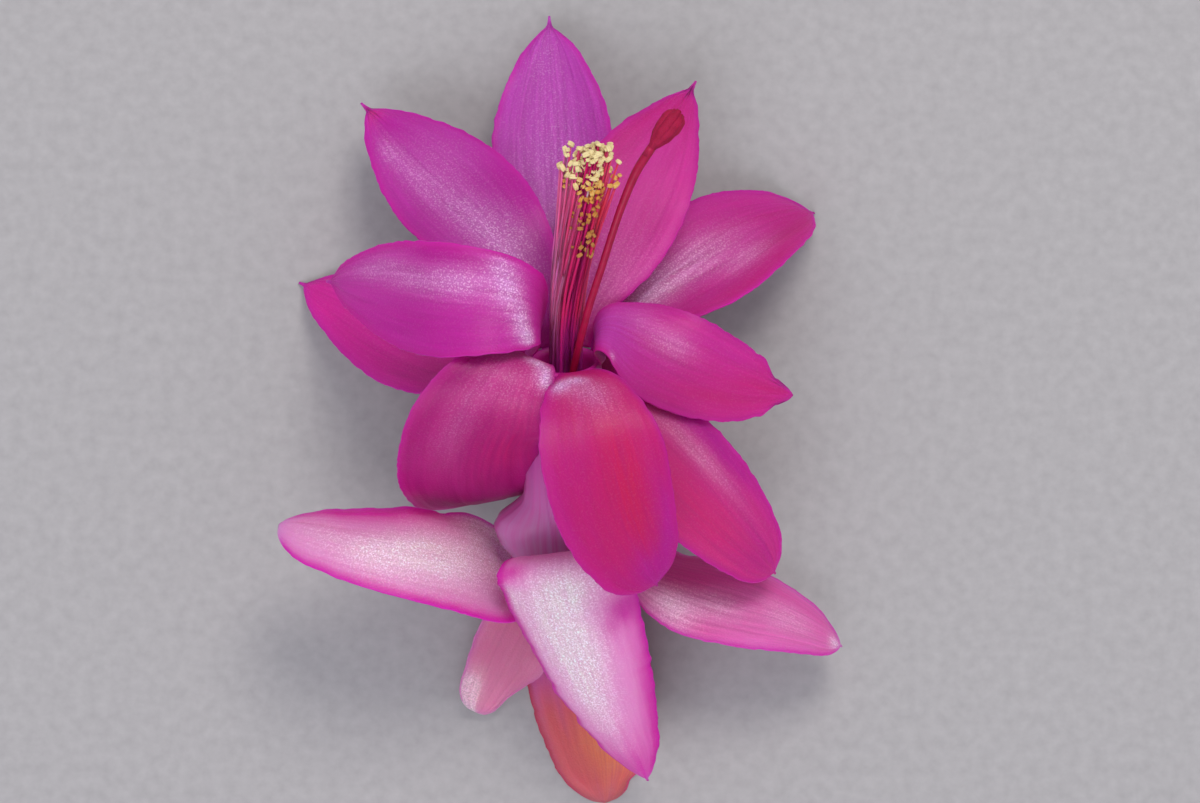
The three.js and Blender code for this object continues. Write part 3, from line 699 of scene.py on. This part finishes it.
tepal(
    "tepal_inner_front_left", "inner_tepal",
    dict(
        around=-40, rise=27.2, out=2.9, length=29.3, width=11.9, root_width=1.8,
        widest=0.5, taper=0.34, lean_root=40.5, lean_bend=191, curl=22,
        bend_from=0, bend_to=13.1, skew=-8.8, sweep=-54.2, twist=-61.8, cup=-7, tip_cup=12.2,
    ),
    dict(
        colour="b2187c", deep="9c0c70", pale="d4a0d4", margin="ad187c", tip_from=0.985,
        # Its first two pale patches are a painted highlight along its upper edge.
        pale_and_highlight=[(-0.95, 0.17, 0.28, 0.035, 1.3), (-0.5, 0.13, 0.35, 0.025, 0.9),
               (-0.2, 0.24, 0.5, 0.08, 0.14), (0.3, 0.42, 0.25, 0.2, 0.12)], glint_strength=0.6,
        # Its third flush patch, 0.8 across and 0.24 along, is painted shade in the deep colour.
        flush=[(0.0, 0.94, 1.2, 0.22, 0.7), (0.95, 0.5, 0.3, 0.25, 0.8),
               (0.8, 0.24, 0.45, 0.1, 1.1)],
        warm=[(-0.6, 0.5, 0.5, 0.24, 0.6)], warm_colour="c41c72",
        nicks=[(-1, 0.15, -1.0, 2.5), (-1, 0.8, -1.8, 5.0), (-1, 0.94, -3.2, 3.0)],
    ),
    8,
)
tepal(
    "tepal_inner_left", "inner_tepal",
    dict(
        around=-90, rise=27.2, out=2.9, length=31.4, width=9.5, root_width=1.9,
        widest=0.46, taper=0.87, lean_root=-16, lean_bend=123, curl=17,
        bend_from=0.7, bend_to=18.1, skew=-55, sweep=-8, twist=-26, cup=34, tip_cup=-9,
    ),
    dict(
        colour="b92c9c", deep="b01090", pale="d4a0d4", margin="b51a88", tip_from=0.975,
        glint_strength=0.6,
        # Its first four pale patches are a painted highlight along its bend.
        pale_and_highlight=[(0.72, 0.335, 0.3, 0.035, 0.6), (0.25, 0.3, 0.4, 0.04, 0.75),
               (-0.35, 0.255, 0.4, 0.03, 0.85), (-0.8, 0.235, 0.3, 0.022, 0.9),
               (0.45, 0.73, 0.3, 0.12, 0.3), (0.25, 0.55, 0.25, 0.12, 0.36),
               (0.3, 0.42, 0.3, 0.08, 0.45)],
        flush=[(-0.75, 0.55, 0.45, 0.3, 0.9), (0.82, 0.48, 0.22, 0.1, 1.3)],
        nicks=[(-1, 0.5, -0.6, 8.0)],
    ),
    9,
)
tepal(
    "tepal_inner_left_back", "inner_tepal",
    dict(
        around=-123, rise=22.7, out=4.1, length=26.1, width=12.1, root_width=2.9,
        widest=0.34, taper=0.82, lean_root=23, lean_bend=80, curl=12,
        bend_from=0, bend_to=3.7, skew=0, sweep=2, twist=-34, cup=-8, tip_cup=-5,
    ),
    dict(
        colour="c81e94", deep="bc1888", pale="d07cb8", margin="c41c90", tip_from=0.975,
        pale_and_highlight=[(0.0, 0.4, 0.5, 0.3, 0.1)], glint_strength=0.2,
    ),
    10,
)
tepal(
    "tepal_outer_left", "outer_tepal",
    dict(
        around=-86, rise=4.5, out=4.1, length=26.4, width=11.8, root_width=3.9,
        widest=0.12, taper=0.5, lean_root=30.2, lean_bend=67.5, curl=41.2,
        bend_from=0.6, bend_to=19, skew=-57.4, sweep=69, twist=-5, cup=-24, tip_cup=-1.4,
    ),
    dict(
        colour="d486bc", deep="c42294", pale="f0d4de", margin="cc2098", rim_width=0.55,
        tip_from=1.0, streaky=0.06, glint_strength=0.9,
        # The first pale patch, at its root, is painted light that lifts the shade there.
        pale_and_highlight=[(0.4, 0.12, 0.9, 0.1, 0.9), (0.3, 0.22, 0.6, 0.12, 0.8),
               (-0.1, 0.45, 0.5, 0.16, 1.0),
               (-0.3, 0.66, 0.4, 0.14, 0.75), (0.0, 0.86, 0.4, 0.08, 0.2)],
        flush=[(1.0, 0.55, 0.42, 0.25, 1.3), (1.0, 0.82, 0.7, 0.16, 0.9),
               (-1.0, 0.45, 0.2, 0.4, 0.8), (-0.6, 0.2, 0.5, 0.06, 0.4)], ragged=0.7,
    ),
    11,
)
tepal(
    "tepal_outer_front", "outer_tepal",
    dict(
        around=0.2, rise=8.6, out=4.1, length=31, width=12, root_width=4.5,
        widest=0.29, taper=0.67, lean_root=40.9, lean_bend=184, curl=11.4,
        bend_from=4.1, bend_to=9.9, skew=19.1, sweep=-14.5, twist=7, cup=-28.9, tip_cup=-12,
    ),
    dict(
        colour="de84c0", deep="c834a0", pale="f0d4de", margin="cc1a98", rim_width=0.6,
        tip_from=0.99, streaky=0.06, glint_strength=0.9,
        pale_and_highlight=[(0.25, 0.42, 0.45, 0.14, 1.0), (-0.1, 0.3, 0.45, 0.06, 0.8),
               (0.2, 0.64, 0.4, 0.16, 0.85), (-0.1, 0.5, 0.3, 0.14, 0.4),
               (0.9, 0.33, 0.3, 0.05, 0.5)],
        flush=[(-0.72, 0.4, 0.2, 0.05, 1.0), (-0.5, 0.45, 0.15, 0.03, 0.5),
               (0.8, 0.235, 0.3, 0.03, 1.0), (-0.95, 0.7, 0.25, 0.3, 0.9),
               (0.0, 0.97, 1.2, 0.13, 0.8), (1.0, 0.6, 0.14, 0.5, 0.9)],
        wavy=0.4, ragged=1.4,
        nicks=[(1, 0.63, 0.22, 0.35), (1, 0.78, -0.25, 0.5), (1, 0.84, 0.2, 0.4),
               (1, 0.5, 0.2, 0.6), (-1, 0.62, 0.12, 0.3)],
    ),
    12,
)
tepal(
    "tepal_outer_right", "outer_tepal",
    dict(
        around=82.2, rise=6.1, out=4.1, length=22.2, width=11.4, root_width=4.2,
        widest=0.2, taper=0.62, lean_root=26.5, lean_bend=99.7, curl=40.4,
        bend_from=0.3, bend_to=2.3, skew=6.4, sweep=-17.6, twist=17.5, cup=-24.3, tip_cup=32.9,
    ),
    dict(
        colour="d668b0", deep="c8288e", pale="ecc6dc", margin="c8389a", rim_width=0.35,
        tip_from=0.99, streaky=0.26, glint_strength=0.5,
        pale_and_highlight=[(0.6, 0.27, 0.4, 0.1, 0.8), (0.3, 0.44, 0.3, 0.1, 0.4),
               (0.3, 0.95, 0.4, 0.03, 0.9), (0.1, 0.72, 0.4, 0.12, 0.3)],
        # Its first flush patch is partly its own deeper pink, partly painted shadow cast by the
        # tepal over it.
        flush=[(-0.6, 0.4, 0.7, 0.26, 1.2), (-0.2, 0.25, 0.45, 0.12, 0.8),
               (0.9, 0.35, 0.2, 0.15, 0.8)],
    ),
    13,
)
tepal(
    "tepal_outer_base_left", "outer_tepal",
    dict(
        around=-149, rise=5.8, out=4.1, length=14.9, width=7.5, root_width=2.2,
        widest=0.43, taper=0.36, lean_root=156.7, lean_bend=188.5, curl=-21.2,
        bend_from=0.1, bend_to=2.7, skew=-36.3, sweep=2.9, twist=23.2, cup=-12.4, tip_cup=-7.7,
    ),
    dict(
        colour="d67ea4", deep="cc6494", pale="f0c2ce", margin="d070a0", rim_width=0.2,
        tip_from=1.0, streaky=0.1, glint_strength=0.1,
        # The bright patch near its tip is painted light, a sunlit spot.
        pale_and_highlight=[(-0.66, 0.92, 0.34, 0.13, 2.4)],
        nicks=[(1, 0.93, 1.2, 1.6), (1, 0.78, 0.8, 1.6)],
    ),
    14,
)
tepal(
    "tepal_outer_base", "base_tepal",
    dict(
        around=178, rise=6.5, out=4.1, length=24.9, width=11.1, root_width=3.5,
        widest=0.51, taper=0.52, lean_root=88, lean_bend=203, curl=-1,
        bend_from=0, bend_to=4.6, skew=13, sweep=-3, twist=-1, cup=-1, tip_cup=-2,
    ),
    dict(
        colour="d65c68", deep="ca5aa0", pale="e0a890", margin="d43858", rim_width=0.35,
        tip_from=1.0, streaky=0.1, glint_strength=0.0,
        flush=[(-0.5, 0.44, 1.2, 0.15, 1.4)],
        # The orange patch near its tip is partly its own colour, partly painted light shining
        # through the tepal.
        warm=[(0.3, 0.78, 0.6, 0.14, 1.0)], warm_colour="e8845a", ragged=1.3,
        nicks=[(1, 0.93, 0.5, 0.6)],
    ),
    15,
)

# ---- Stamens ---------------------------------------------------------------
# Threads grown from inside the throat, so close that they read as one glassy column: pink on
# its left, crimson in the middle, rosy red on its right, a few cream. Each carries a small
# two-lobed anther, cream at the top where the bundle spreads, ochre further down.
FILAMENTS = 340
FILAMENT_STEPS = 12
FILAMENT_SIDES = 6
BUNDLE_SEED = 4
# Each thread is this far on in the order of lengths from the one before, so lengths mix.
LENGTH_STRIDE = 37


def from_mouth(right, front, above):
    return MOUTH_CENTRE + RIGHT * right + FRONT * front + AXIS * above


def curve_through(places, count):
    """Evenly many points on a smooth line through the places."""
    padded = [places[0] * 2 - places[1]] + places + [places[-1] * 2 - places[-2]]
    points = []
    for i in range(count + 1):
        at = i / count * (len(places) - 1)
        k = min(int(at), len(places) - 2)
        u = at - k
        a, b, c, d = padded[k:k + 4]
        points.append(0.5 * (2 * b + (c - a) * u + (2 * a - 5 * b + 4 * c - d) * u * u
                             + (3 * b - a - 3 * c + d) * u ** 3))
    return points


def grow_rod(mesh, line, radii, sides, shades=None, shade=0.0):
    """A round rod along a line in mm: a circle is extruded from point to point."""
    ring = bmesh.ops.create_circle(mesh, cap_ends=True, segments=sides, radius=radii[0] * MM)
    ring = ring["verts"]
    way = (line[1] - line[0]).normalized()
    side = way.orthogonal().normalized()
    for k, (point, radius) in enumerate(zip(line, radii)):
        way = (line[min(k + 1, len(line) - 1)] - line[max(k - 1, 0)]).normalized()
        side = (side - way * side.dot(way)).normalized()
        other = way.cross(side)
        if k:
            edges = {e for v in ring for e in v.link_edges if e.other_vert(v) in ring}
            grown = bmesh.ops.extrude_edge_only(mesh, edges=list(edges))
            fresh = [v for v in grown["geom"] if isinstance(v, bmesh.types.BMVert)]
            linked = {}
            for vert in fresh:
                for edge in vert.link_edges:
                    if edge.other_vert(vert) in ring:
                        linked[edge.other_vert(vert)] = vert
            ring = [linked[v] for v in ring]
        for i, vert in enumerate(ring):
            turn = math.tau * i / sides
            vert.co = (point + (side * math.cos(turn) + other * math.sin(turn)) * radius) * MM
            if shades is not None:
                vert[shades] = shade
    bmesh.ops.contextual_create(mesh, geom=ring)


def thread_tissue():
    """Smooth soft threads, half clear, coloured by their place in the bundle."""
    material, tree = new_material("thread_tissue")
    shade = add(tree, "Attribute", attribute_name="shade").outputs["Fac"]
    place = add(tree, "TexCoord").outputs["Object"]
    colour = add(tree, "ValToRGB", {0: shade})
    ramp = colour.color_ramp
    ramp.elements[0].color = linear("f060b0")
    ramp.elements[1].color = linear("f4a4b4")
    for at, code in ((0.12, "f05c8c"), (0.26, "e03c6c"), (0.45, "bc145c"), (0.7, "c81c50"),
                     (0.88, "dc3850"), (0.94, "d83c78")):
        ramp.elements.new(at).color = linear(code)
    grain = add(tree, "TexNoise", {"Vector": place, "Scale": 900.0, "Detail": 2.0})
    tone = add(tree, "MapRange", {
        "Value": grain.outputs["Fac"], "To Min": 0.85, "To Max": 1.15,
    })
    rise = add(tree, "VectorMath", {0: place, 1: AXIS}, operation="DOT_PRODUCT")
    # The lowest millimetres, in the throat, are painted magenta: the pink light that the tepals
    # pass onto them.
    mouth = MOUTH_CENTRE.dot(AXIS) * MM
    throat = add(tree, "MapRange", {
        "Value": rise.outputs["Value"], "From Min": mouth, "From Max": mouth + 5 * MM,
        "To Min": 0.85, "To Max": 0.0,
    })
    colour = add(tree, "Mix", {
        0: throat.outputs[0], 6: colour.outputs[0], 7: linear("d01c90"),
    }, data_type="RGBA")
    tinted = add(tree, "Mix", {0: 1.0, 6: colour.outputs[2], 7: tone.outputs[0]},
                 data_type="RGBA", blend_type="MULTIPLY")
    skin = add(tree, "BsdfPrincipled", {
        "Base Color": tinted.outputs[2], "Roughness": 0.4, "Subsurface Weight": 0.8,
        "Subsurface Radius": (1.0, 0.4, 0.5), "Subsurface Scale": 0.0012,
        "Specular IOR Level": 0.08,
    })
    add(tree, "OutputMaterial", {"Surface": skin.outputs[0]})
    return material


def pollen_coat():
    """Dry pollen on the anthers: matt and grainy, cream to ochre."""
    material, tree = new_material("pollen_coat")
    shade = add(tree, "Attribute", attribute_name="shade").outputs["Fac"]
    place = add(tree, "TexCoord").outputs["Object"]
    colour = add(tree, "ValToRGB", {0: shade})
    ramp = colour.color_ramp
    ramp.elements[0].color = linear("b07a3c")
    ramp.elements[1].color = linear("e4d29c")
    for at, code in ((0.3, "c07a34"), (0.45, "d09038"), (0.7, "dcb86c")):
        ramp.elements.new(at).color = linear(code)
    grain = add(tree, "TexNoise", {"Vector": place, "Scale": 9000.0, "Detail": 2.0})
    tone = add(tree, "MapRange", {
        "Value": grain.outputs["Fac"], "To Min": 0.7, "To Max": 1.25,
    })
    tinted = add(tree, "Mix", {0: 1.0, 6: colour.outputs[0], 7: tone.outputs[0]},
                 data_type="RGBA", blend_type="MULTIPLY")
    bump = add(tree, "Bump", {
        "Height": grain.outputs["Fac"], "Strength": 0.6, "Distance": 0.00006,
    })
    skin = add(tree, "BsdfPrincipled", {
        "Base Color": tinted.outputs[2], "Roughness": 0.75, "Normal": bump.outputs[0],
    })
    add(tree, "OutputMaterial", {"Surface": skin.outputs[0]})
    return material


draw = random.Random(BUNDLE_SEED)
threads = bmesh.new()
thread_shade = threads.verts.layers.float.new("shade")
anthers = bmesh.new()
anther_shade = anthers.verts.layers.float.new("shade")
for i in range(FILAMENTS):
    share = ((i * LENGTH_STRIDE) % FILAMENTS) / (FILAMENTS - 1)
    # The short ones stand to the front; the style leaves the throat at the front right.
    turn = math.radians((180 if share < 0.5 else 360) * draw.random())
    packed = math.sqrt(0.08 + 0.92 * draw.random())
    if math.radians(15) < turn < math.radians(110):
        packed *= 0.6
    c, s = packed * math.cos(turn), packed * math.sin(turn)
    length = 10.6 + 19 * share if share < 0.3 else 16.3 + 6 * (share - 0.3) - 1.3 * max(0, s)
    fan = 1.4 + 1.4 * smooth((share - 0.2) / 0.3) * draw.random()
    # From inside the tube, through the mouth, the thread leans to the right and to the front.
    knots = [
        from_mouth(1.5 * c, 1.5 * s, -6.2),
        from_mouth(0.1 + 1.3 * c, 0.2 + 1.0 * s, 0),
        from_mouth(0.72 + 1.5 * c, 1.5 + 1.1 * s, length * 0.52),
        from_mouth(
            0.9 + length * 0.085 + fan * c,
            length * 0.13 + 1.4 * s + (1.4 if share < 0.3 else 0.4) * draw.random(), length,
        ),
    ]
    line = curve_through(knots, FILAMENT_STEPS)
    radii = [0.2 - 0.11 * k / FILAMENT_STEPS for k in range(FILAMENT_STEPS + 1)]
    # The shade follows the place across the bundle; a few threads in the middle are cream.
    shade = min(0.9, 0.5 + 0.46 * c + draw.uniform(-0.05, 0.05)) + (s > 0.5 and abs(c) < 0.03)
    grow_rod(threads, line, radii, FILAMENT_SIDES, thread_shade, min(1, max(0, shade)))
    # The anther sits on the thread's end, turned by chance. On long threads it is bigger, paler.
    end = line[-1]
    lie = Vector((draw.uniform(-1, 1), draw.uniform(-0.7, 1), draw.uniform(-0.8, 0.8))).normalized()
    beside = lie.cross(Vector((0.2, 0.1, 1))).normalized()
    big = 0.58 + 0.16 * smooth((share - 0.3) / 0.2) + draw.uniform(-0.14, 0.16)
    anther_paleness = 1.6 * share - 0.16 + draw.uniform(-0.16, 0.16)
    for side in (-1, 1):
        size = Matrix.Diagonal((0.17 * big, 0.17 * big, 0.44 * big, 1))
        aim = lie.to_track_quat("Z", "Y").to_matrix().to_4x4()
        centre = Matrix.Translation((end + beside * 0.1 * big * side) * MM)
        lobe = bmesh.ops.create_icosphere(
            anthers, subdivisions=2, radius=MM, matrix=centre @ aim @ size,
        )
        for vert in lobe["verts"]:
            vert[anther_shade] = min(1, max(0, anther_paleness + draw.uniform(-0.15, 0.15)))
bmesh.ops.recalc_face_normals(threads, faces=threads.faces)
piece("stamen_threads", threads, thread_tissue(), "stamen", "stamens")
piece("stamen_anthers", anthers, pollen_coat(), "stamen", "stamens")

# ---- Style and stigma ------------------------------------------------------
# One firm crimson thread, thicker than the stamens' own, that leaves the throat beside them
# and ends in a club of soft lobes pressed together, velvety outside.
STYLE_STEPS = 60
STYLE_SIDES = 16
STIGMA_LOBES = 7
LOBE_STEPS = 16
LOBE_SIDES = 12
LOBE_RADIUS = 0.48
STYLE_LINE = [
    (0, 0, -9), (0.1, 0.15, -6), (0.4, 0.8, -3), (0.75, 1.4, -0.5), (1.5, 2.1, 3),
    (2.3, 2.5, 6.2), (3.3, 2.8, 9.5), (4.3, 2.9, 12.8), (5.2, 2.75, 15.4), (6.3, 2.35, 17.9),
    (7.6, 1.75, 19.8),
]


def crimson_tissue(name, rough, fuzz):
    """Deep crimson stem tissue, satin on the style and velvety on the stigma's lobes."""
    material, tree = new_material(name)
    place = add(tree, "TexCoord").outputs["Object"]
    grain = add(tree, "TexNoise", {"Vector": place, "Scale": 1500.0, "Detail": 3.0})
    colour = add(tree, "ValToRGB", {0: grain.outputs["Fac"]})
    colour.color_ramp.elements[0].position = 0.3
    colour.color_ramp.elements[0].color = linear("930a38")
    colour.color_ramp.elements[1].position = 0.7
    colour.color_ramp.elements[1].color = linear("a80f44")
    fine = add(tree, "TexNoise", {"Vector": place, "Scale": 8000.0, "Detail": 2.0})
    bump = add(tree, "Bump", {
        "Height": fine.outputs["Fac"], "Strength": fuzz, "Distance": 0.0001,
    })
    skin = add(tree, "BsdfPrincipled", {
        "Base Color": colour.outputs[0], "Roughness": rough, "Normal": bump.outputs[0],
        "Subsurface Weight": 0.25, "Subsurface Radius": (1.0, 0.2, 0.3),
        "Subsurface Scale": 0.0005, "Specular IOR Level": 0.25,
    })
    add(tree, "OutputMaterial", {"Surface": skin.outputs[0]})
    return material


style = bmesh.new()
line = curve_through([from_mouth(*place) for place in STYLE_LINE], STYLE_STEPS)
# It thins over its first third and thickens again over its last.
radii = [
    0.37 - 0.05 * smooth(k / 20) + 0.08 * smooth((k - 40) / 20) for k in range(STYLE_STEPS + 1)
]
grow_rod(style, line, radii, STYLE_SIDES)
bmesh.ops.recalc_face_normals(style, faces=style.faces)
piece("style_thread", style, crimson_tissue("style_tissue", 0.35, 0.1), "style_skin", "style")

stigma = bmesh.new()
end = line[-1]
way = (from_mouth(10.9, -0.6, 23.2) - end).normalized()
first = way.cross(Vector((0, 0, 1))).normalized()
second = way.cross(first)
# Each lobe starts thin, inside the style's end, and is thickest a little past its middle.
swell = [
    LOBE_RADIUS * math.sqrt(max(0.3, 1 - ((k / LOBE_STEPS - 0.58) / 0.42) ** 2))
    for k in range(LOBE_STEPS + 1)
]
for i in range(STIGMA_LOBES):
    turn = math.tau * i / STIGMA_LOBES
    out = first * math.cos(turn) + second * math.sin(turn)
    tip = 3.7 + 0.3 * math.sin(3.1 * i)
    lobe = [
        end + way * -0.9 + out * 0.02,
        end + way * 0.3 + out * 0.12,
        end + way * 1.7 + out * 0.5,
        end + way * 3.0 + out * 0.6,
        end + way * tip + out * 0.35,
    ]
    grow_rod(stigma, curve_through(lobe, LOBE_STEPS), swell, LOBE_SIDES)
bmesh.ops.recalc_face_normals(stigma, faces=stigma.faces)
for vert in stigma.verts:
    shift = noise.noise_vector(vert.co / MM * 2.4)
    vert.co += shift * 0.07 * MM
piece("stigma_lobes", stigma, crimson_tissue("stigma_velvet", 0.7, 0.8), "style_skin", "style")

# ---- Floor, light and camera -----------------------------------------------
# A plain pale card in a pale room, under two soft round lamps of the same power: a smaller one
# beyond the flower on the right, and a wider one on the viewer's left.
CARD_HALF = 1.5


def pale_card():
    """Uncoated card: matt, light grey, faintly mottled by its fibres."""
    material, tree = new_material("pale_card")
    place = add(tree, "TexCoord").outputs["Object"]
    fibre = add(tree, "TexNoise", {"Vector": place, "Scale": 900.0, "Detail": 4.0})
    tone = add(tree, "ValToRGB", {0: fibre.outputs["Fac"]})
    tone.color_ramp.elements[0].color = linear("9a989a")
    tone.color_ramp.elements[1].color = linear("b2b0b2")
    skin = add(tree, "BsdfPrincipled", {"Base Color": tone.outputs[0], "Roughness": 0.9})
    add(tree, "OutputMaterial", {"Surface": skin.outputs[0]})
    return material


card = bmesh.new()
bmesh.ops.create_grid(card, x_segments=1, y_segments=1, size=CARD_HALF)
card_data = bpy.data.meshes.new("pale_card")
card.to_mesh(card_data)
card.free()
card_data.materials.append(pale_card())
floor = bpy.data.objects.new("pale_card", card_data)
bpy.context.scene.collection.objects.link(floor)


LAMP_WATTS = 1.3


def softbox(name, place, size, colour):
    """A round lamp at a place in metres, aimed at the flower."""
    lamp = bpy.data.lights.new(name, "AREA")
    lamp.shape = "DISK"
    lamp.size = size
    lamp.energy = LAMP_WATTS
    lamp.color = linear(colour)[:3]
    stand = bpy.data.objects.new(name, lamp)
    bpy.context.scene.collection.objects.link(stand)
    stand.location = place
    stand.rotation_euler = (-Vector(place)).to_track_quat("-Z", "Y").to_euler()


softbox("key_lamp", (0.10, 0.30, 0.46), 0.22, "fff8f0")
softbox("front_lamp", (-0.12, -0.3, 0.5), 0.4, "f6f6ff")

world = bpy.data.worlds.new("soft_room")
world.use_nodes = True
world.node_tree.nodes["Background"].inputs["Color"].default_value = linear("e8eaf0")
world.node_tree.nodes["Background"].inputs["Strength"].default_value = 0.7
bpy.context.scene.world = world
bpy.context.scene.view_settings.view_transform = "Standard"

# The camera looks straight down: 102 mm fill the width of the picture, 404 mm from the lens.
SEEN_WIDTH = 102
SEEN_FROM = 404
lens = bpy.data.cameras.new("camera")
lens.sensor_width = 36
lens.lens = lens.sensor_width * SEEN_FROM / SEEN_WIDTH
camera = bpy.data.objects.new("camera", lens)
camera.location = (0.00323, 0.00079, 0.42)
lens.clip_start = 0.01
bpy.context.scene.collection.objects.link(camera)
bpy.context.scene.camera = camera
